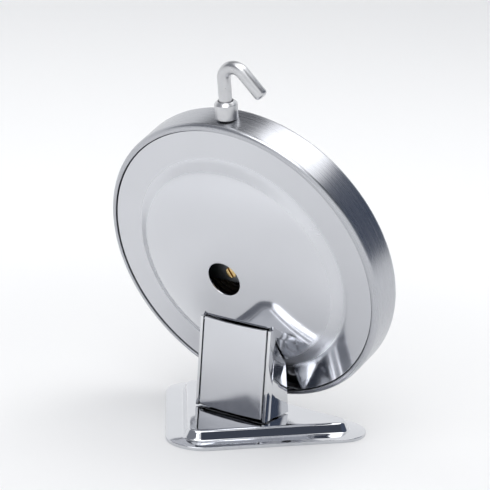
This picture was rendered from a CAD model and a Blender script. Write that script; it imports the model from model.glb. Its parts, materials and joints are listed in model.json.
import json
import math

import bmesh
import bpy
from mathutils import Matrix, Vector


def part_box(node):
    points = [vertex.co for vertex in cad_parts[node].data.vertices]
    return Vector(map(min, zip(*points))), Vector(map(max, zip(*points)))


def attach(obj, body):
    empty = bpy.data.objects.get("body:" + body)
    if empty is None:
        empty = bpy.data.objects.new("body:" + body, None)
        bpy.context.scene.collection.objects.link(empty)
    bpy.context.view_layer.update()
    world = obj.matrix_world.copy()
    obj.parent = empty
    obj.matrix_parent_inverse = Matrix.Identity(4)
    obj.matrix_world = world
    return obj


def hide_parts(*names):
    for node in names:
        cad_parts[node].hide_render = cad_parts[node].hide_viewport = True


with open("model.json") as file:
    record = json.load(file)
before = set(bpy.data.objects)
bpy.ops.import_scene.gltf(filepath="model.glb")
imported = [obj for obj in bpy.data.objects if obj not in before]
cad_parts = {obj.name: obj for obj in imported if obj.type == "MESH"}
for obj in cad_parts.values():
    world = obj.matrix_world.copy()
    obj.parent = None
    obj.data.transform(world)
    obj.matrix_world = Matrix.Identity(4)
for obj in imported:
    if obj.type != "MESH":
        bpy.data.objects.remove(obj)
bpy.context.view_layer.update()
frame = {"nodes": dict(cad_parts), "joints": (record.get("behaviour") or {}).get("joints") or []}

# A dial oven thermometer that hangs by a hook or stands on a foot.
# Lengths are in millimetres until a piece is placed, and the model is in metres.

MM = 0.001

# ---- Sizes of the finished surfaces -------------------------------------------------------

CASE_SHEET = 0.6
FRONT_ROUND = 0.8
SHOULDER_ROUND = 1.2
CASE_FLARE = 0.3
EDGE_ROUND = 0.12             # on the cut edges of thin sheet

PLATE_SHEET = 0.5
FLAT_WIDTH = 8.2              # from the rim's outside in to the step
STEP_WIDTH = 1.5
STEP_HEIGHT = 1.0
STEP_SOFTEN = 1.6             # how far the pressing spreads the step into the dome
STEP_RUNOUT = 0.6             # and out into the flat rim
SEAM = 0.12                   # between the flat rim and the rolled lip
PLATE_FLAT = 0.5              # outside of the plate's flat rim, behind the case's origin
DOME_HEIGHT = 5.4
VENT_R = 4.1
VENT_ROUND = 0.2              # on the edge of the vent
RIM_TUCK = 0.45               # from the plate's edge out to the inside of the rim

BASE_CORNER_R = 7.5
BASE_SIDE_ANGLE = math.radians(36.4)
BASE_SHEET = 0.8
FLANGE_WIDTH = 3.8
PLATFORM_HEIGHT = 3.0
PLATFORM_SLOPE = 1.1

POST_SHEET = 0.7
POST_STRIP = 2.3
POST_JOGGLE = 0.4
POST_FRONT_Y = -9.2
POST_FRONT_LEAN = math.radians(12.3)
TAB_AT = 19.5                 # the tab on the cover, below the vent
TAB_HEIGHT = 5.0
PANEL_SHEET = 0.5
PANEL_SAG = 0.85
PANEL_EDGE_ROUND = 0.15
WEB_DROP = 1.6                # from the panel's top edge down to the top of the web
COVER_STEP = 0.5              # between the points where the wall follows the cover
COVER_FROM, COVER_POINTS = -32, 48
GAP = 0.3
BORE_CLEARANCE = 0.15

HOOK_ROD_R = 1.45
HOOK_RISE = 8.74
HOOK_BEND_R = 2.9
HOOK_SWEEP = math.radians(135)
HOOK_LEG = 6.5
COLLAR_R = 2.5
COLLAR_TOP = 3.9
COLLAR_CHAMFER = 0.65
COLLAR_SEAT = 0.05            # underside of the collar, above the rim
COLLAR_FLOOR = 2.0
ROD_START = 2.2
ROD_TIP_ROUND = 0.75

HUB_SLEEVE = 0.5
POINTER_BOSS = 1.4

TURN_STEPS = 160              # faces round a large turned piece
SMALL_STEPS = 48
SMOOTH_BELOW = math.radians(32)


# ---- Frames -------------------------------------------------------------------------------

def axis_frame(origin, axis, across):
    """A frame in metres whose Y runs along axis and whose X is the part of across square to it."""
    y = Vector(axis).normalized()
    x = (Vector(across) - y * y.dot(Vector(across))).normalized()
    return Matrix.Translation(origin) @ Matrix((x, y, x.cross(y))).transposed().to_4x4()


joints = {joint["name"]: joint for joint in frame["joints"]}
dial_joint, hook_joint = joints["pointer_turn"], joints["hook_swivel"]
CASE = axis_frame(dial_joint["pos_m"], dial_joint["axis"], (1, 0, 0))
hook_across = Vector(dial_joint["axis"]).cross(Vector(hook_joint["axis"]))
HOOK = axis_frame(hook_joint["pos_m"], hook_joint["axis"], hook_across)
UPRIGHT = axis_frame((0, 0, 0), (0, 0, 1), (1, 0, 0))
WORLD = Matrix.Identity(4)


def extent(node, place):
    """Inner and outer radius of a CAD node about a frame's Y, and its first and last y, in mm."""
    inverse = place.inverted()
    points = [(inverse @ v.co) / MM for v in frame["nodes"][node].data.vertices]
    radii = [math.hypot(p.x, p.z) for p in points]
    heights = [p.y for p in points]
    return min(radii), max(radii), min(heights), max(heights)


def box_mm(node):
    return [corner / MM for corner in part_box(node)]


# ---- Mesh helpers -------------------------------------------------------------------------

def arc(centre, radius, start, end, steps):
    """Points of an arc in a plane, from one angle to another."""
    angles = [start + (end - start) * i / steps for i in range(steps + 1)]
    return [(centre[0] + radius * math.cos(a), centre[1] + radius * math.sin(a)) for a in angles]


def filleted(corners, closed=True, steps=5):
    """Corners (x, y) or (x, y, radius); a corner with a radius becomes an arc."""
    points = []
    for i, (x, y, *radius) in enumerate(corners):
        here = Vector((x, y))
        at_end = not closed and i in (0, len(corners) - 1)
        if not radius or at_end:
            points.append(here)
            continue
        before = (Vector(corners[i - 1][:2]) - here).normalized()
        after = (Vector(corners[(i + 1) % len(corners)][:2]) - here).normalized()
        half = before.angle(after) / 2
        start = here + before * radius[0] / math.tan(half)
        end = here + after * radius[0] / math.tan(half)
        centre = here + (before + after).normalized() * radius[0] / math.sin(half)
        for k in range(steps + 1):
            spoke = (start - centre).lerp(end - centre, k / steps).normalized()
            points.append(centre + spoke * radius[0])
    return points


def finish_mesh(name, bm, place, smooth=SMOOTH_BELOW):
    """Makes an object at the origin from a bmesh in mm, with the frame's place in its mesh."""
    bmesh.ops.transform(bm, matrix=place @ Matrix.Scale(MM, 4), verts=bm.verts)
    mesh = bpy.data.meshes.new(name)
    bm.to_mesh(mesh)
    bm.free()
    mesh.shade_smooth()
    mesh.set_sharp_from_angle(angle=smooth)
    made = bpy.data.objects.new(name, mesh)
    bpy.context.scene.collection.objects.link(made)
    return made


def tidy(bm):
    bmesh.ops.remove_doubles(bm, verts=bm.verts, dist=1e-4)
    bmesh.ops.dissolve_degenerate(bm, edges=bm.edges, dist=1e-5)
    bmesh.ops.recalc_face_normals(bm, faces=bm.faces)


def turned(name, profile, place, steps=TURN_STEPS):
    """Spins a closed profile of (radius, y) about a frame's Y. On the axis it needn't close."""
    bm = bmesh.new()
    verts = [bm.verts.new((r, y, 0)) for r, y in profile]
    edges = [bm.edges.new(pair) for pair in zip(verts, verts[1:])]
    if profile[0][0] > 1e-6:
        edges.append(bm.edges.new((verts[-1], verts[0])))
    bmesh.ops.spin(bm, geom=verts + edges, axis=(0, 1, 0), cent=(0, 0, 0), dvec=(0, 0, 0),
                   angle=2 * math.pi, steps=steps, use_merge=True)
    tidy(bm)
    return finish_mesh(name, bm, place)


def round_edges(bm, edges, width, segments=3):
    bmesh.ops.bevel(bm, geom=list(edges), offset=width, offset_type="OFFSET", segments=segments,
                    profile=0.5, affect="EDGES", material=-1, clamp_overlap=True)


def outline_face(bm, points):
    return bm.faces.new([bm.verts.new(p) for p in points])


def extrude(bm, face, offset):
    """Extrudes a face by an offset and keeps the first face, so that the body is closed."""
    made = bmesh.ops.extrude_face_region(bm, geom=[face], use_keep_orig=True)["geom"]
    moved = [g for g in made if isinstance(g, bmesh.types.BMVert)]
    bmesh.ops.translate(bm, verts=moved, vec=offset)
    return [g for g in made if isinstance(g, bmesh.types.BMFace)]


def plate(bm, points, offset):
    """A flat plate from an outline, thickened by an offset."""
    face = outline_face(bm, points)
    extrude(bm, face, offset)
    bmesh.ops.recalc_face_normals(bm, faces=bm.faces)


def sharp_edges(bm, above=math.radians(35)):
    return [e for e in bm.edges if e.is_manifold and e.calc_face_angle(0) > above]


# ---- Shader maths -------------------------------------------------------------------------

class Sock:
    """A node socket that can be used in arithmetic; every operation adds a Math node."""

    def __init__(self, tree, socket):
        self.tree, self.socket = tree, socket

    def math(self, operation, *others):
        values = [self, *others]
        return self.tree.node("ShaderNodeMath", {"operation": operation}, dict(enumerate(values)))

    def dot(self, vector):
        """Dot product with a fixed vector."""
        return self.tree.node("ShaderNodeVectorMath", {"operation": "DOT_PRODUCT"},
                              {0: self, 1: vector}, out="Value")

    def __add__(self, other): return self.math("ADD", other)
    def __radd__(self, other): return self.math("ADD", other)
    def __sub__(self, other): return self.math("SUBTRACT", other)
    def __rsub__(self, other): return (self * -1) + other
    def __mul__(self, other): return self.math("MULTIPLY", other)
    def __rmul__(self, other): return self.math("MULTIPLY", other)
    def __truediv__(self, other): return self.math("DIVIDE", other)


class Tree:
    """A node tree with one way to add a node: its type, its settings and its inputs."""

    def __init__(self, owner):
        owner.use_nodes = True
        self.nodes, self.links = owner.node_tree.nodes, owner.node_tree.links
        self.nodes.clear()

    def node(self, kind, settings=None, inputs=None, out=0):
        made = self.nodes.new(kind)
        for key, value in (settings or {}).items():
            if key == "stops":
                self.set_stops(made, value)
            else:
                setattr(made, key, value)
        for key, value in (inputs or {}).items():
            if isinstance(value, Sock):
                self.links.new(value.socket, made.inputs[key])
            else:
                made.inputs[key].default_value = value
        return Sock(self, made.outputs[out]) if made.outputs else made

    def split(self, vector):
        """The three components of a vector socket."""
        made = self.nodes.new("ShaderNodeSeparateXYZ")
        self.links.new(vector.socket, made.inputs[0])
        return [Sock(self, socket) for socket in made.outputs]

    def set_stops(self, ramp_node, stops):
        ramp = ramp_node.color_ramp
        while len(ramp.elements) < len(stops):
            ramp.elements.new(1.0)
        for element, (place, color) in zip(ramp.elements, stops):
            element.position = place
            element.color = (*color, 1) if len(color) == 3 else color

    def object_coords(self):
        return self.node("ShaderNodeTexCoord", out=3)

    def noise(self, vector, scale, detail=2.0, roughness=0.5, stretch=None):
        if stretch:
            vector = self.node("ShaderNodeMapping", {}, {"Vector": vector, "Scale": stretch})
        return self.node("ShaderNodeTexNoise", {},
                         {"Vector": vector, "Scale": scale, "Detail": detail, "Roughness": roughness})

    def between(self, value, low, high, to_low=0.0, to_high=1.0, smooth=False):
        kind = {"interpolation_type": "SMOOTHSTEP" if smooth else "LINEAR"}
        return self.node("ShaderNodeMapRange", kind,
                         {"Value": value, 1: low, 2: high, 3: to_low, 4: to_high})

    def blend(self, factor, first, second):
        made = self.nodes.new("ShaderNodeMix")
        made.data_type = "RGBA"
        for socket, value in zip((made.inputs[0], made.inputs[6], made.inputs[7]), (factor, first, second)):
            if isinstance(value, Sock):
                self.links.new(value.socket, socket)
            else:
                socket.default_value = value if isinstance(value, float) else (*value, 1)
        return Sock(self, made.outputs[2])

    def bump(self, height, strength, distance):
        return self.node("ShaderNodeBump", {}, {"Height": height, "Strength": strength, "Distance": distance})

    def surface(self, constants, varying):
        """The Principled surface: plain numbers on its own sockets, and what varies linked in."""
        shader = self.node("ShaderNodeBsdfPrincipled", {}, {**constants, **varying})
        self.node("ShaderNodeOutputMaterial", {}, {"Surface": shader})


def new_material(name):
    made = bpy.data.materials.new(name)
    return made, Tree(made)


def round_the_axis(tree, place):
    """Angle, distance from the axis and place along it, in metres, about a frame's Y."""
    inverse = place.inverted()
    turned_in = tree.node("ShaderNodeMapping", {}, {
        "Vector": tree.object_coords(), "Location": inverse.to_translation(),
        "Rotation": inverse.to_euler()})
    x, y, z = tree.split(turned_in)
    radius = (x * x + z * z).math("SQRT")
    return z.math("ARCTAN2", x), radius, y


def brushed_round(name, place, color, roughness, grain, streaks=0.5):
    """Steel brushed round an axis: fine lines that follow the turn."""
    material, tree = new_material(name)
    angle, radius, along = round_the_axis(tree, place)
    across = (radius + along) * 1000.0
    line_place = tree.node("ShaderNodeCombineXYZ", {}, {0: angle * 1.6, 1: across * 9.0, 2: along * 90.0})
    lines = tree.noise(line_place, 1.0, 4.0, 0.65)
    coarse_place = tree.node("ShaderNodeCombineXYZ", {}, {0: angle * 2.3, 1: across * 1.7})
    coarse = tree.noise(coarse_place, 1.0, 2.0)
    patches = tree.noise(tree.object_coords(), 90.0, 2.0)
    tint = tree.between(lines * 0.65 + coarse * 0.35, 0.3, 0.7)
    dark = tuple(c * (1 - 0.22 * streaks) for c in color)
    tree.surface({"Metallic": 1.0}, {
        "Base Color": tree.blend(tint, dark, color),
        "Roughness": tree.between(lines + patches * 0.4, 0.45, 0.95, roughness - 0.06, roughness + 0.08),
        "Normal": tree.bump(lines, grain, 0.00002)})
    return material


DRAWN_DULLING = 0.2           # roughness that a pressed step gains


def polished(name, place, color, roughness, haze=0.5, spin_lines=0.25, ripple=0.05,
             drawn=None):
    """Bright polished sheet with faint buffing lines and haze.

    drawn is the inner and outer radius, in mm, of a pressed step, where drawing dulls the sheet.
    """
    material, tree = new_material(name)
    angle, radius, along = round_the_axis(tree, place)
    line_place = tree.node("ShaderNodeCombineXYZ", {}, {0: angle * 0.8, 1: (radius + along) * 2600.0})
    lines = tree.noise(line_place, 1.0, 3.0, 0.6)
    waves = tree.noise(tree.object_coords(), 210.0, 1.0)
    smear = tree.noise(tree.object_coords(), 55.0, 3.0, 0.55)
    fine = tree.noise(tree.object_coords(), 900.0, 2.0)
    shade = tree.between(smear, 0.3, 0.75)
    gloss = tree.between(smear * 0.7 + fine * 0.3, 0.3, 0.7, roughness * 0.75, roughness * 1.35)
    if drawn:
        middle, half = (drawn[0] + drawn[1]) / 2, (drawn[1] - drawn[0]) / 2
        off_step = (radius * 1000.0 - middle).math("ABSOLUTE")
        gloss = gloss + tree.between(off_step, half * 0.5, half * 1.5, DRAWN_DULLING, 0.0, smooth=True)
    dull = tuple(c * (1 - 0.07 * haze) for c in color)
    tree.surface({"Metallic": 1.0}, {
        "Base Color": tree.blend(shade, dull, color),
        "Roughness": gloss,
        "Normal": tree.bump(lines * 0.02 * spin_lines + waves * ripple, 1.0, 0.0001)})
    return material


def satin(name, color, roughness, pitting=0.3):
    """Tumbled satin metal with a fine even grain and slightly rubbed patches."""
    material, tree = new_material(name)
    where = tree.object_coords()
    fine = tree.noise(where, 2600.0, 3.0, 0.6)
    rubbed = tree.noise(where, 260.0, 3.0, 0.5)
    dark = tuple(c * 0.86 for c in color)
    tree.surface({"Metallic": 1.0}, {
        "Base Color": tree.blend(tree.between(rubbed, 0.3, 0.7), dark, color),
        "Roughness": tree.between(rubbed * 0.6 + fine * 0.4, 0.3, 0.7, roughness - 0.05, roughness + 0.07),
        "Normal": tree.bump(fine, pitting, 0.00001)})
    return material


def heat_tinted(name):
    """Bimetal strip: warm brown and blue tints from use."""
    material, tree = new_material(name)
    where = tree.object_coords()
    tint = tree.noise(where, 240.0, 3.0, 0.6)
    color = tree.node("ShaderNodeValToRGB", {"stops": [
        (0.3, (0.16, 0.15, 0.17)), (0.5, (0.34, 0.29, 0.23)), (0.7, (0.42, 0.38, 0.32))]}, {"Fac": tint})
    grain = tree.noise(where, 3000.0, 2.0)
    tree.surface({"Metallic": 1.0}, {
        "Base Color": color,
        "Roughness": tree.between(grain, 0.3, 0.7, 0.34, 0.5),
        "Normal": tree.bump(grain, 0.3, 0.00001)})
    return material


def painted(name, color, roughness, speckle=0.06, texture=0.25):
    """Enamel or paint with a slight orange peel and faint speckle."""
    material, tree = new_material(name)
    where = tree.object_coords()
    peel = tree.noise(where, 1400.0, 3.0, 0.5)
    cloud = tree.noise(where, 130.0, 2.0)
    dark = tuple(c * (1 - speckle) for c in color)
    tree.surface({"Metallic": 0.0}, {
        "Base Color": tree.blend(tree.between(cloud * 0.5 + peel * 0.5, 0.35, 0.65), dark, color),
        "Roughness": tree.between(peel, 0.3, 0.7, roughness - 0.05, roughness + 0.06),
        "Normal": tree.bump(peel, texture, 0.00001)})
    return material


def clear_glass(name):
    material, tree = new_material(name)
    wipe = tree.noise(tree.object_coords(), 120.0, 3.0, 0.6)
    tree.surface({"Transmission Weight": 1.0, "IOR": 1.46, "Metallic": 0.0}, {
        "Base Color": tree.blend(tree.between(wipe, 0.3, 0.7), (0.96, 0.985, 0.98), (0.985, 1.0, 0.995)),
        "Roughness": tree.between(wipe, 0.35, 0.8, 0.01, 0.035)})
    return material


STEEL = (0.49, 0.50, 0.53)
BRIGHT = (0.64, 0.65, 0.68)
SATIN = (0.61, 0.615, 0.63)

window_r, front_r, case_front, lip_rear = extent("case_ring", CASE)
case_r = front_r - CASE_FLARE
lip_r = case_r - 1.35

step_outer_r = case_r - FLAT_WIDTH
dome_base_r = step_outer_r - STEP_WIDTH
dome_base = PLATE_FLAT + STEP_HEIGHT
dome_radius = (dome_base_r ** 2 + DOME_HEIGHT ** 2) / (2 * DOME_HEIGHT)
plate_step = (dome_base_r - STEP_SOFTEN, step_outer_r + STEP_RUNOUT)

materials = {
    "brushed_steel": brushed_round("rim_brushed_steel", CASE, STEEL, 0.265, 0.25, 0.45),
    "plate_steel": polished("plate_polished_steel", CASE, BRIGHT, 0.085, drawn=plate_step),
    "foot_steel": polished("foot_polished_steel", UPRIGHT, BRIGHT, 0.06, ripple=0.6),
    "panel_steel": polished("panel_polished_steel", UPRIGHT, BRIGHT, 0.19, ripple=0.1),
    "satin_steel": satin("hook_satin_steel", SATIN, 0.3, 0.12),
    "post_steel": polished("post_polished_steel", UPRIGHT, (0.68, 0.69, 0.71), 0.07, ripple=0.5),
    "inner_steel": satin("inner_rolled_steel", (0.28, 0.29, 0.31), 0.4),
    "brass": satin("turned_brass", (0.80, 0.58, 0.26), 0.24),
    "bimetal": heat_tinted("bimetal_strip"),
    "glass": clear_glass("window_glass_clear"),
    "dial_white": painted("dial_enamel", (0.86, 0.86, 0.83), 0.45),
    "ink_black": painted("scale_ink_black", (0.012, 0.012, 0.014), 0.5, 0.3),
    "ink_red": painted("scale_ink_red", (0.55, 0.03, 0.02), 0.5, 0.15),
    "pointer_black": painted("pointer_paint", (0.014, 0.014, 0.016), 0.4, 0.3),
}


def fit(piece, body, finish, slot, *nodes):
    """Gives a piece its finish, its CAD body, its slot and the CAD nodes that it stands for."""
    piece.data.materials.clear()
    piece.data.materials.append(materials[finish])
    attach(piece, body)
    if nodes:
        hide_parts(*nodes)
    return piece


# ---- Case ---------------------------------------------------------------------------------

def case_ring():
    inner_r = case_r - CASE_SHEET
    profile = filleted([
        (window_r, case_front, EDGE_ROUND), (front_r, case_front, FRONT_ROUND),
        (case_r, lip_rear, SHOULDER_ROUND), (lip_r, lip_rear, EDGE_ROUND),
        (lip_r, lip_rear - CASE_SHEET, EDGE_ROUND), (inner_r, lip_rear - CASE_SHEET, 0.6),
        (front_r - CASE_SHEET, case_front + CASE_SHEET, 0.25),
        (window_r, case_front + CASE_SHEET, EDGE_ROUND)], steps=8)
    return turned("case_rim", profile, CASE, steps=192)


fit(case_ring(), "case", "brushed_steel", "brushed_steel", "case_ring")

def dome_at(r):
    return dome_base + DOME_HEIGHT - dome_radius + math.sqrt(dome_radius ** 2 - r ** 2)


def plate_outside(r):
    """How far the plate's outside stands behind the case's origin, from the vent to the flat."""
    start, end = plate_step
    if r <= start:
        return dome_at(r)
    t, run = min((r - start) / (end - start), 1), end - start
    slope = -start / math.sqrt(dome_radius ** 2 - start ** 2) * run
    fall = 2 * t ** 3 - 3 * t ** 2 + 1
    return PLATE_FLAT + (dome_at(start) - PLATE_FLAT) * fall + slope * (t ** 3 - 2 * t ** 2 + t)


def back_plate():
    under_lip = lip_rear - CASE_SHEET - GAP
    tuck_r = lip_r - SEAM
    rim_r = case_r - CASE_SHEET - RIM_TUCK
    blend_from, blend_to = plate_step
    stations = [VENT_R + (blend_from - VENT_R) * i / 24 for i in range(25)]
    stations += [blend_from + (blend_to - blend_from) * i / 16 for i in range(1, 17)]
    outside = [(r, plate_outside(r)) for r in stations]
    tucked = filleted([
        (blend_to, PLATE_FLAT), (tuck_r - 0.1, PLATE_FLAT, 0.1), (tuck_r, under_lip, 0.1),
        (rim_r, under_lip)], closed=False)[1:]
    skin = outside + [tuple(p) for p in tucked]
    inside = [(r, y - PLATE_SHEET) for r, y in reversed(skin)]
    hole_edge = filleted([
        (VENT_R + PLATE_SHEET, skin[0][1]), (VENT_R, skin[0][1], VENT_ROUND),
        (VENT_R, inside[-1][1], VENT_ROUND), (VENT_R + PLATE_SHEET, inside[-1][1])], closed=False)[1:-1]
    profile = [*skin[1:], *inside[:-1], *reversed([tuple(p) for p in hole_edge])]
    return turned("back_cover", profile, CASE, steps=192)


fit(back_plate(), "case", "plate_steel", "polished_steel", "back_plate")

# ---- Window and dial ----------------------------------------------------------------------


def disc(name, node, place=CASE, edge=0.1, steps=TURN_STEPS):
    """A solid disc or ring with eased edges, where the CAD node is."""
    inner, outer, front, rear = extent(node, place)
    if inner < 0.05:
        corners = [(0, front), (outer, front, edge), (outer, rear, edge), (0, rear)]
        return turned(name, filleted(corners, closed=False, steps=3), place, steps)
    corners = [(inner, front, edge), (outer, front, edge), (outer, rear, edge), (inner, rear, edge)]
    return turned(name, filleted(corners, steps=3), place, steps)


fit(disc("dial_window", "window_glass", edge=0.2), "case", "glass", "glass", "window_glass")
fit(disc("glass_spacer", "spacer_ring"), "case", "inner_steel", "inner_steel", "spacer_ring")

bush_hole_r, dial_r, dial_front, dial_rear = extent("dial_plate", CASE)


def dial_plate():
    corners = [(bush_hole_r, dial_front, 0.08), (dial_r, dial_front, 0.1), (dial_r, dial_rear, 0.1),
               (bush_hole_r, dial_rear, 0.08)]
    return turned("dial_face", filleted(corners, steps=3), CASE)


fit(dial_plate(), "case", "dial_white", "dial_white", "dial_plate")

SCALE_LOW, SCALE_HIGH = 50, 300
SCALE_FROM, SCALE_TO = math.radians(-120), math.radians(120)
SCALE_R = 29.0
INK = 0.03


def scale_angle(reading):
    """Clockwise from the top of the dial, as its reader sees it."""
    return SCALE_FROM + (SCALE_TO - SCALE_FROM) * (reading - SCALE_LOW) / (SCALE_HIGH - SCALE_LOW)


def on_dial(angle, radius):
    """Places a mark drawn upright at the dial's centre, out at a radius and turned with it."""
    return Matrix.Rotation(angle, 4, "Y") @ Matrix.Translation((0, dial_front - INK / 2, radius))


def scale_marks():
    bm = bmesh.new()
    for reading in range(SCALE_LOW, SCALE_HIGH + 1, 5):
        long_mark, mid_mark = reading % 50 == 0, reading % 10 == 0
        length = 3.4 if long_mark else 2.2 if mid_mark else 1.3
        width = 0.55 if long_mark else 0.3 if mid_mark else 0.18
        size = Matrix.Diagonal((width, INK, length, 1))
        bmesh.ops.create_cube(bm, size=1, matrix=on_dial(scale_angle(reading), SCALE_R - length / 2) @ size)
    return finish_mesh("scale_marks", bm, CASE)


def scale_arc(name, start, end, radius, width):
    """A printed band from one reading to another."""
    bm = bmesh.new()
    half = width / 2
    section = [bm.verts.new((x, y, radius + z)) for x, y, z in
               [(0, dial_front - INK, -half), (0, dial_front - INK, half), (0, dial_front - 0.002, half),
                (0, dial_front - 0.002, -half)]]
    face = bm.faces.new(section)
    bmesh.ops.rotate(bm, verts=bm.verts, cent=(0, 0, 0), matrix=Matrix.Rotation(scale_angle(start), 3, "Y"))
    bmesh.ops.spin(bm, geom=[face, *face.edges, *face.verts], axis=(0, 1, 0), cent=(0, 0, 0),
                   dvec=(0, 0, 0), angle=scale_angle(end) - scale_angle(start), steps=90)
    tidy(bm)
    return finish_mesh(name, bm, CASE)


def scale_numbers():
    bm = bmesh.new()
    for reading in range(SCALE_LOW, SCALE_HIGH + 1, 50):
        words = bpy.data.curves.new("number", "FONT")
        words.body, words.size, words.extrude, words.resolution_u = str(reading), 4.4, INK / 2, 4
        words.align_x, words.align_y = "CENTER", "CENTER"
        holder = bpy.data.objects.new("number", words)
        drawn = bpy.data.meshes.new_from_object(holder)
        angle = scale_angle(reading)
        reach = SCALE_R - 6.6
        upright = Matrix(((1, 0, 0, 0), (0, 0, -1, 0), (0, 1, 0, 0), (0, 0, 0, 1)))
        place = Matrix.Translation((reach * math.sin(angle), dial_front - INK / 2, reach * math.cos(angle)))
        drawn.transform(place @ upright)
        bm.from_mesh(drawn)
        bpy.data.meshes.remove(drawn)
        bpy.data.objects.remove(holder)
    tidy(bm)
    return finish_mesh("scale_numbers", bm, CASE)


fit(scale_marks(), "case", "ink_black", "dial_white")
fit(scale_numbers(), "case", "ink_black", "dial_white")
fit(scale_arc("scale_line", SCALE_LOW, SCALE_HIGH, SCALE_R + 0.25, 0.3), "case", "ink_black", "dial_white")
fit(scale_arc("hot_band", 220, 300, SCALE_R + 1.2, 1.0), "case", "ink_red", "dial_white")

# ---- Pointer and staff --------------------------------------------------------------------

STAFF_R = extent("staff", CASE)[1]
_, _, staff_front, staff_rear = extent("staff", CASE)
SLOT_WIDTH, SLOT_DEPTH = 0.5, 0.8
SLOT_TURN = math.radians(-65)


def staff():
    """A round shaft with a screwdriver slot across its rear end."""
    bm = bmesh.new()
    made = bmesh.ops.create_circle(bm, cap_ends=True, radius=STAFF_R, segments=SMALL_STEPS,
                                   matrix=Matrix.Rotation(math.pi / 2, 4, "X"))
    bmesh.ops.translate(bm, verts=made["verts"], vec=(0, staff_front, 0))
    top = extrude(bm, bm.faces[:][0], (0, staff_rear - SLOT_DEPTH - staff_front, 0))
    side_way = Matrix.Rotation(SLOT_TURN, 3, "Y") @ Vector((0, 0, 1))
    for side in (-1, 1):
        whole = [*top, *{e for f in top for e in f.edges}, *{v for f in top for v in f.verts}]
        bmesh.ops.bisect_plane(bm, geom=whole, plane_co=side_way * side * SLOT_WIDTH / 2, plane_no=side_way)
        bm.faces.ensure_lookup_table()
        slot_floor = staff_rear - SLOT_DEPTH
        top = [f for f in bm.faces if abs(f.calc_center_median().y - slot_floor) < 1e-3]
    for face in top:
        if abs(face.calc_center_median().dot(side_way)) > SLOT_WIDTH / 2:
            raised = bmesh.ops.extrude_discrete_faces(bm, faces=[face])["faces"][0]
            bmesh.ops.translate(bm, verts=raised.verts, vec=(0, SLOT_DEPTH, 0))
    tidy(bm)
    lips = [e for e in sharp_edges(bm) if e.verts[0].co.y > staff_rear - 1e-3
            and e.verts[1].co.y > staff_rear - 1e-3]
    round_edges(bm, lips, 0.12)
    return finish_mesh("slotted_staff", bm, CASE)


fit(staff(), "needle", "brass", "brass", "staff")

hub_bore, hub_r, hub_front, hub_rear = extent("pointer_hub", CASE)


def pointer_hub():
    """The brass boss in front of the needle, with its bore closed by a domed end."""
    sleeve_r = hub_bore + HUB_SLEEVE
    flange_rear = extent("pointer", CASE)[2] - GAP / 2
    corners = [(hub_bore, hub_front + 0.05, 0.04), (hub_r, hub_front, 0.2), (hub_r, flange_rear, 0.08),
               (sleeve_r, flange_rear, 0.03), (sleeve_r, hub_rear, 0.08), (hub_bore, hub_rear, 0.04)]
    return turned("needle_boss", filleted(corners, steps=4), CASE, SMALL_STEPS)


fit(pointer_hub(), "needle", "brass", "brass", "pointer_hub")

POINTER_REACH, POINTER_TAIL = 26.0, 8.0
POINTER_HALF, POINTER_TIP_HALF = 1.1, 0.35
POINTER_REST = math.radians(-135)      # just short of the scale


def pointer():
    """A tapered needle with a round boss and a rounded tail, folded from thin sheet."""
    _, _, front, rear = extent("pointer", CASE)
    boss_r = hub_bore + HUB_SLEEVE + POINTER_BOSS
    neck = math.sqrt(boss_r ** 2 - POINTER_HALF ** 2)
    lean = math.asin(POINTER_HALF / boss_r)
    right = arc((0, 0), boss_r, math.pi / 2 - lean, -math.pi / 2 + lean, 18)
    left = arc((0, 0), boss_r, -math.pi / 2 - lean, -3 * math.pi / 2 + lean, 18)
    tail = arc((0, -POINTER_TAIL), POINTER_HALF, 0, -math.pi, 12)
    tip = arc((0, POINTER_REACH - POINTER_TIP_HALF), POINTER_TIP_HALF, math.pi, 0, 8)
    outline = [*right, (POINTER_HALF, -neck), *tail, (-POINTER_HALF, -neck), *left, *tip]
    bm = bmesh.new()
    face = outline_face(bm, [(x, rear, z) for x, z in outline])
    extrude(bm, face, (0, front - rear, 0))
    tidy(bm)
    round_edges(bm, [e for e in sharp_edges(bm, math.radians(60))
                     if abs(e.verts[0].co.y - e.verts[1].co.y) < 1e-4], 0.06, 2)
    bmesh.ops.rotate(bm, verts=bm.verts, cent=(0, 0, 0), matrix=Matrix.Rotation(POINTER_REST, 3, "Y"))
    return finish_mesh("dial_needle", bm, CASE)


fit(pointer(), "needle", "pointer_black", "pointer_black", "pointer")


def pin_like(name, node, place, round_front, round_rear):
    """A short round pin with eased ends, on its own axis beside the frame's."""
    low, high = box_mm(node)
    centre = place.inverted() @ ((low + high) / 2 * MM) / MM
    own = place @ Matrix.Translation(Vector((centre.x, 0, centre.z)) * MM)
    _, radius, front, rear = extent(node, own)
    corners = [(0, front), (radius, front, round_front), (radius, rear, round_rear), (0, rear)]
    return turned(name, filleted(corners, closed=False, steps=4), own, SMALL_STEPS)


fit(pin_like("needle_stop", "stop_pin", CASE, 0.3, 0.05), "case", "brass", "brass", "stop_pin")

# ---- Hook ---------------------------------------------------------------------------------


def hook_collar():
    """A turned ferrule with a chamfered mouth and a foot that follows the rim."""
    bore = HOOK_ROD_R + BORE_CLEARANCE
    corners = [(0, COLLAR_SEAT), (COLLAR_R, COLLAR_SEAT, 0.08), (COLLAR_R, COLLAR_TOP - COLLAR_CHAMFER, 0.08),
               (COLLAR_R - COLLAR_CHAMFER, COLLAR_TOP, 0.08), (bore, COLLAR_TOP, 0.06),
               (bore, COLLAR_FLOOR, 0.05), (0, COLLAR_FLOOR)]
    return turned("hook_ferrule", filleted(corners, closed=False, steps=4), HOOK, 96)


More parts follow.
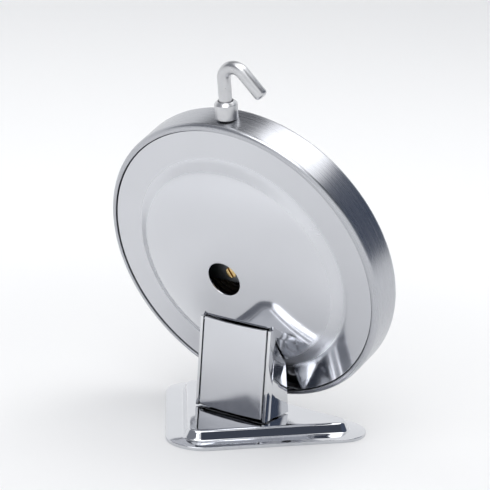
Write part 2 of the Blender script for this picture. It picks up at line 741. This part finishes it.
def hook_rod():
    """A round rod: straight up out of the collar, round a bend and down a short leg."""
    bm = bmesh.new()
    made = bmesh.ops.create_circle(bm, cap_ends=True, radius=HOOK_ROD_R, segments=SMALL_STEPS,
                                   matrix=Matrix.Rotation(math.pi / 2, 4, "X"))
    bmesh.ops.translate(bm, verts=made["verts"], vec=(0, ROD_START, 0))
    end = extrude(bm, bm.faces[:][0], (0, HOOK_RISE - ROD_START, 0))
    geom = [*end, *{e for f in end for e in f.edges}, *{v for f in end for v in f.verts}]
    spun = bmesh.ops.spin(bm, geom=geom, axis=(0, 0, 1), cent=(-HOOK_BEND_R, HOOK_RISE, 0),
                          dvec=(0, 0, 0), angle=HOOK_SWEEP, steps=36)["geom_last"]
    last = [g for g in spun if isinstance(g, bmesh.types.BMFace)]
    down = Vector((-math.sin(HOOK_SWEEP), math.cos(HOOK_SWEEP), 0)) * HOOK_LEG
    made = bmesh.ops.extrude_face_region(bm, geom=last)["geom"]
    bmesh.ops.translate(bm, verts=[g for g in made if isinstance(g, bmesh.types.BMVert)], vec=down)
    tip = [g for g in made if isinstance(g, bmesh.types.BMFace)]
    inner = [f for f in bm.faces if all(len(e.link_faces) > 2 for e in f.edges)]
    bmesh.ops.delete(bm, geom=inner, context="FACES_ONLY")
    tidy(bm)
    round_edges(bm, {e for f in tip if f.is_valid for e in f.edges}, ROD_TIP_ROUND, 6)
    return finish_mesh("hanging_hook", bm, HOOK)


fit(hook_collar(), "case", "satin_steel", "satin_steel", "hook_collar")
fit(hook_rod(), "hook", "satin_steel", "satin_steel", "hook_rod")

# ---- Foot ---------------------------------------------------------------------------------

base_low, base_high = box_mm("base_plate")
base_depth = base_high.y - base_low.y
nose_y = base_depth / 2 - BASE_CORNER_R
toe_y = -base_depth / 2 + BASE_CORNER_R
toe_x = (nose_y - toe_y) * math.tan(BASE_SIDE_ANGLE)


def foot_ring(inset, z, steps=14):
    """The three-cornered outline, set in from the edge, at a height."""
    corners = [((toe_x, toe_y), -math.pi / 2, BASE_SIDE_ANGLE),
               ((0, nose_y), BASE_SIDE_ANGLE, math.pi - BASE_SIDE_ANGLE),
               ((-toe_x, toe_y), math.pi - BASE_SIDE_ANGLE, 1.5 * math.pi)]
    points = []
    for centre, start, end in corners:
        points += arc(centre, BASE_CORNER_R - inset, start, end, steps)
    return [(x, y, z) for x, y in points]


def base_plate():
    """One pressed sheet: a flat flange, a sloping wall and a raised platform, then its thickness."""
    top_inset = FLANGE_WIDTH + PLATFORM_SLOPE
    levels = filleted([
        (0.0, BASE_SHEET), (FLANGE_WIDTH, BASE_SHEET, 0.9), (top_inset, PLATFORM_HEIGHT, 0.9),
        (top_inset + 1.2, PLATFORM_HEIGHT)], closed=False, steps=6)
    bm = bmesh.new()
    rings = []
    for inset, z in levels:
        verts = [bm.verts.new(p) for p in foot_ring(inset, z)]
        rings.append([bm.edges.new((verts[i - 1], verts[i])) for i in range(len(verts))])
    for outer, inner in zip(rings, rings[1:]):
        bmesh.ops.bridge_loops(bm, edges=outer + inner)
    bmesh.ops.edgeloop_fill(bm, edges=rings[-1])
    bmesh.ops.recalc_face_normals(bm, faces=bm.faces)
    if sum(f.normal.z for f in bm.faces) < 0:
        bmesh.ops.reverse_faces(bm, faces=bm.faces)
    bmesh.ops.solidify(bm, geom=list(bm.faces), thickness=BASE_SHEET)
    round_edges(bm, [e for e in sharp_edges(bm) if all(on_edge(v.co) for v in e.verts)], 0.14)
    return finish_mesh("foot_plate", bm, WORLD)


def on_edge(co):
    """Whether a point lies on the foot's outer edge."""
    best = min((Vector((co.x, co.y)) - Vector(p[:2])).length for p in foot_ring(0, 0))
    return best < 0.05


fit(base_plate(), "case", "foot_steel", "polished_steel", "base_plate")

PUNCH_X, PUNCH_Y = -12.72, 7.11       # a centre-punch mark on the flange
PUNCH_R, PUNCH_RISE = 0.55, 0.12


def punch_mark():
    """The burr that a square punch raises on the flange."""
    bm = bmesh.new()
    lift = BASE_SHEET + PUNCH_RISE / 2
    bmesh.ops.create_cone(bm, cap_ends=True, segments=4, radius1=PUNCH_R, radius2=PUNCH_R / 2,
                          depth=PUNCH_RISE, matrix=Matrix.Translation((PUNCH_X, PUNCH_Y, lift)))
    round_edges(bm, sharp_edges(bm), PUNCH_RISE / 4, 2)
    return finish_mesh("foot_punch_mark", bm, WORLD)


fit(punch_mark(), "case", "foot_steel", "polished_steel")

# ---- Post ---------------------------------------------------------------------------------

post_low, post_high = box_mm("stand_post")
panel_low, panel_high = box_mm("post_panel")
post_half = post_high.x
post_inner = post_half - POST_SHEET
post_rear = post_high.y
post_foot = post_low.z


def in_case(point):
    """A point of the case's frame, in the object's frame, both in mm."""
    return (CASE @ (Vector(point) * MM)) / MM


def under_case(x, dial_z):
    """A point in the object's frame just clear of the back cover, at a place on the dial."""
    return in_case((x, plate_outside(math.hypot(x, dial_z)) + GAP, dial_z))


tab_turn = Matrix.Rotation(-math.asin(TAB_AT / dome_radius), 3, "X")
tab_axis = CASE.to_3x3() @ tab_turn @ Vector((0, 1, 0))


def tab_corners():
    """The tab's four corners on the side that faces the cover."""
    foot = Vector((0, dome_at(TAB_AT), -TAB_AT))
    return [in_case(foot + tab_turn @ Vector((x * post_inner, GAP, z * TAB_HEIGHT / 2)))
            for x, z in ((-1, -1), (1, -1), (1, 1), (-1, 1))]


def wall_outline(x):
    """Side of the post's wall: up the leaning front edge and back along the cover."""
    slope = math.tan(POST_FRONT_LEAN)
    along_cover = [under_case(x, COVER_FROM + COVER_STEP * i) for i in range(COVER_POINTS)]
    top = [(p.y, p.z) for p in along_cover
           if p.y > POST_FRONT_Y + slope * (p.z - post_foot) and p.y < post_rear - POST_STRIP + GAP
           and p.z < panel_high.z]
    rear = post_rear - POST_STRIP + GAP
    return [(POST_FRONT_Y, post_foot), *top, (rear, top[-1][1] + 0.4), (rear, post_foot)]


def stand_post():
    """Folded channel: two walls, each with a rear strip standing proud, a web, a foot and a tab."""
    bm = bmesh.new()
    for side in (-1, 1):
        inner_x = side * (post_inner - POST_JOGGLE)
        wall = [(inner_x, y, z) for y, z in wall_outline(inner_x)]
        plate(bm, wall, (side * POST_SHEET, 0, 0))
        strip_front = post_rear - POST_STRIP
        strip_x = side * post_inner
        strip = [(strip_x, strip_front, post_foot), (strip_x, post_rear, post_foot),
                 (strip_x, post_rear, panel_high.z), (strip_x, strip_front, panel_high.z)]
        plate(bm, strip, (side * POST_SHEET, 0, 0))
    web_rear = post_rear - PANEL_SHEET - GAP
    web = [(-post_inner, web_rear, post_foot), (post_inner, web_rear, post_foot),
           (post_inner, web_rear, panel_high.z - WEB_DROP), (-post_inner, web_rear, panel_high.z - WEB_DROP)]
    plate(bm, web, (0, -POST_SHEET, 0))
    foot = [(-post_inner, POST_FRONT_Y, post_foot), (post_inner, POST_FRONT_Y, post_foot),
            (post_inner, web_rear, post_foot), (-post_inner, web_rear, post_foot)]
    plate(bm, foot, (0, 0, POST_SHEET))
    plate(bm, tab_corners(), tab_axis * POST_SHEET)
    bmesh.ops.recalc_face_normals(bm, faces=bm.faces)
    round_edges(bm, sharp_edges(bm), 0.13, 3)
    return finish_mesh("stand_channel", bm, WORLD)


fit(stand_post(), "case", "post_steel", "satin_steel", "stand_post")


def post_panel():
    """A gently bowed cover plate between the post's rear strips, with eased edges."""
    half = panel_high.x
    bow = (half ** 2 + PANEL_SAG ** 2) / (2 * PANEL_SAG)
    sweep = math.asin(half / bow)
    centre = (0, panel_high.y - bow)
    rear = arc(centre, bow, math.pi / 2 - sweep, math.pi / 2 + sweep, 32)
    front = arc(centre, bow - PANEL_SHEET, math.pi / 2 + sweep, math.pi / 2 - sweep, 32)
    bm = bmesh.new()
    face = outline_face(bm, [(x, y, panel_low.z) for x, y in rear + front])
    extrude(bm, face, (0, 0, panel_high.z - panel_low.z))
    tidy(bm)
    round_edges(bm, sharp_edges(bm, math.radians(50)), PANEL_EDGE_ROUND, 4)
    return finish_mesh("post_cover", bm, WORLD)


fit(post_panel(), "case", "panel_steel", "polished_steel", "post_panel")

# ---- Rivets -------------------------------------------------------------------------------

RIVET_R, RIVET_HEAD_R, RIVET_HEAD = 1.0, 1.7, 0.6


def rivet(name, node, axis):
    """A rivet with a domed head at each end, where the CAD one is."""
    low, high = box_mm(node)
    own = axis_frame((low + high) / 2 * MM, axis, (1, 0, 0))
    _, _, front, rear = extent(node, own)
    head = [(RIVET_HEAD_R * math.sin(a), 1 - math.cos(a)) for a in
            [math.pi / 2 * i / 8 for i in range(9)]]
    top = [(r, rear - RIVET_HEAD * drop) for r, drop in head]
    bottom = [(r, front + RIVET_HEAD * drop) for r, drop in head]
    profile = [*bottom, (RIVET_R, front + RIVET_HEAD), (RIVET_R, rear - RIVET_HEAD), *reversed(top)]
    return turned(name, profile, own, SMALL_STEPS)


for side in ("left", "right"):
    fit(rivet(f"cover_rivet_{side}", f"case_rivet_{side}", tab_axis),
        "case", "satin_steel", "satin_steel", f"case_rivet_{side}")
    fit(rivet(f"foot_rivet_{side}", f"base_rivet_{side}", (0, 0, 1)),
        "case", "satin_steel", "satin_steel", f"base_rivet_{side}")

# ---- Carried-over inner pieces ------------------------------------------------------------

INNER_FINISHES = {
    "clamp_ring": "inner_steel", "front_bush": "brass", "bimetal_coil": "bimetal",
    "coil_anchor": "brass", "bridge": "inner_steel", "bridge_screw_left": "brass",
    "bridge_screw_right": "brass", "coil_collet": "brass",
}
for node, finish in INNER_FINISHES.items():
    inner_piece = frame["nodes"][node]
    inner_piece.data.materials.clear()
    inner_piece.data.materials.append(materials[finish])

# ---- Floor, light and camera --------------------------------------------------------------


def pale_floor():
    """A large plain floor, a little greyer close to the object."""
    bm = bmesh.new()
    bmesh.ops.create_circle(bm, cap_ends=True, radius=6000, segments=96)
    floor = finish_mesh("floor", bm, WORLD)
    material, tree = new_material("floor_pale")
    x, y, _ = tree.split(tree.object_coords())
    away = (x * x + y * y).math("SQRT")
    fade = tree.between(away, 0.06, 0.24, smooth=True)
    mottle = tree.noise(tree.object_coords(), 40.0)
    tree.surface({"Metallic": 0.0, "Specular IOR Level": 0.2}, {
        "Base Color": tree.blend(fade, (0.86, 0.86, 0.86), (0.99, 0.99, 0.99)),
        "Roughness": tree.between(mottle, 0.3, 0.7, 0.55, 0.62)})
    floor.data.materials.append(material)


def direction(azimuth, elevation):
    """The way to a place on the studio's walls: azimuth 0 is -Y and 90 is +X, in degrees."""
    a, e = math.radians(azimuth), math.radians(elevation)
    return Vector((math.sin(a) * math.cos(e), -math.cos(a) * math.cos(e), math.sin(e)))


# Azimuth, elevation, half width, half height and soft edge in degrees, and colour.
WALLS = (0.99, 1.0, 1.015)
CARDS = [
    (-22, 74, 30, 20, 8, (1.85, 1.85, 1.85)),
    (-59, 19, 28, 29, 9, (0.085, 0.105, 0.155)),
    (46, 56, 24, 12, 8, (0.14, 0.145, 0.16)),
    (143, 38, 30, 16, 15, (0.26, 0.27, 0.30)),
    (-101, 37, 22, 16, 5, (0.07, 0.08, 0.105)),
]


def card_mask(tree, ray, azimuth, elevation, half_w, half_h, soft):
    """1 inside a rectangular card on the studio's wall, and 0 outside its soft edge."""
    ahead = direction(azimuth, elevation)
    across = ahead.cross(Vector((0, 0, 1))).normalized()
    depth = ray.dot(ahead)
    mask = depth.math("GREATER_THAN", 0.02)
    for way, half in ((across, half_w), (across.cross(ahead), half_h)):
        off = (ray.dot(way) / depth.math("MAXIMUM", 0.02)).math("ABSOLUTE")
        edge, fade = math.tan(math.radians(half)), math.tan(math.radians(soft))
        mask = mask * tree.between(off, edge, edge + fade, 1.0, 0.0, smooth=True)
    return mask


def studio():
    """Soft surroundings: pale walls, a bright ceiling and a few dark cards to shape the steel."""
    world = bpy.data.worlds.new("studio")
    bpy.context.scene.world = world
    tree = Tree(world)
    ray = tree.node("ShaderNodeTexCoord")
    color = WALLS
    for *card, shade in CARDS:
        color = tree.blend(card_mask(tree, ray, *card), color, shade)
    background = tree.node("ShaderNodeBackground", {}, {"Color": color, "Strength": 1.0})
    tree.node("ShaderNodeOutputWorld", {}, {"Surface": background})


def softbox(name, azimuth, elevation, distance, size, power, aim):
    light = bpy.data.lights.new(name, "AREA")
    light.shape, light.size, light.energy = "DISK", size, power
    lamp = bpy.data.objects.new(name, light)
    lamp.location = Vector(aim) + direction(azimuth, elevation) * distance
    lamp.rotation_euler = (-direction(azimuth, elevation)).to_track_quat("-Z", "Y").to_euler()
    bpy.context.scene.collection.objects.link(lamp)


def camera():
    """At the rear, a little above the object and slightly rolled."""
    target = Vector((-0.94, 0.96, 42.6)) * MM
    azimuth, elevation, roll = (math.radians(d) for d in (213.19, 12.56, 3.71))
    back = direction(math.degrees(azimuth), math.degrees(elevation))
    right = Vector((math.cos(azimuth), math.sin(azimuth), 0))
    up = back.cross(right)
    rolled_right = right * math.cos(roll) + up * math.sin(roll)
    rolled_up = up * math.cos(roll) - right * math.sin(roll)
    data = bpy.data.cameras.new("camera")
    data.lens, data.sensor_width, data.clip_start, data.clip_end = 119.8, 36, 0.01, 50
    made = bpy.data.objects.new("camera", data)
    turn = Matrix((rolled_right, rolled_up, back)).transposed().to_4x4()
    made.matrix_world = Matrix.Translation(target + back * 0.361) @ turn
    bpy.context.scene.collection.objects.link(made)
    bpy.context.scene.camera = made


camera()
pale_floor()
studio()
softbox("key_light", 195, 55, 1.1, 0.8, 4.8, (0, 0, 0.04))
softbox("fill_light", -15, 65, 1.0, 0.6, 1.2, (0, 0, 0.04))
bpy.context.scene.view_settings.view_transform = "Standard"
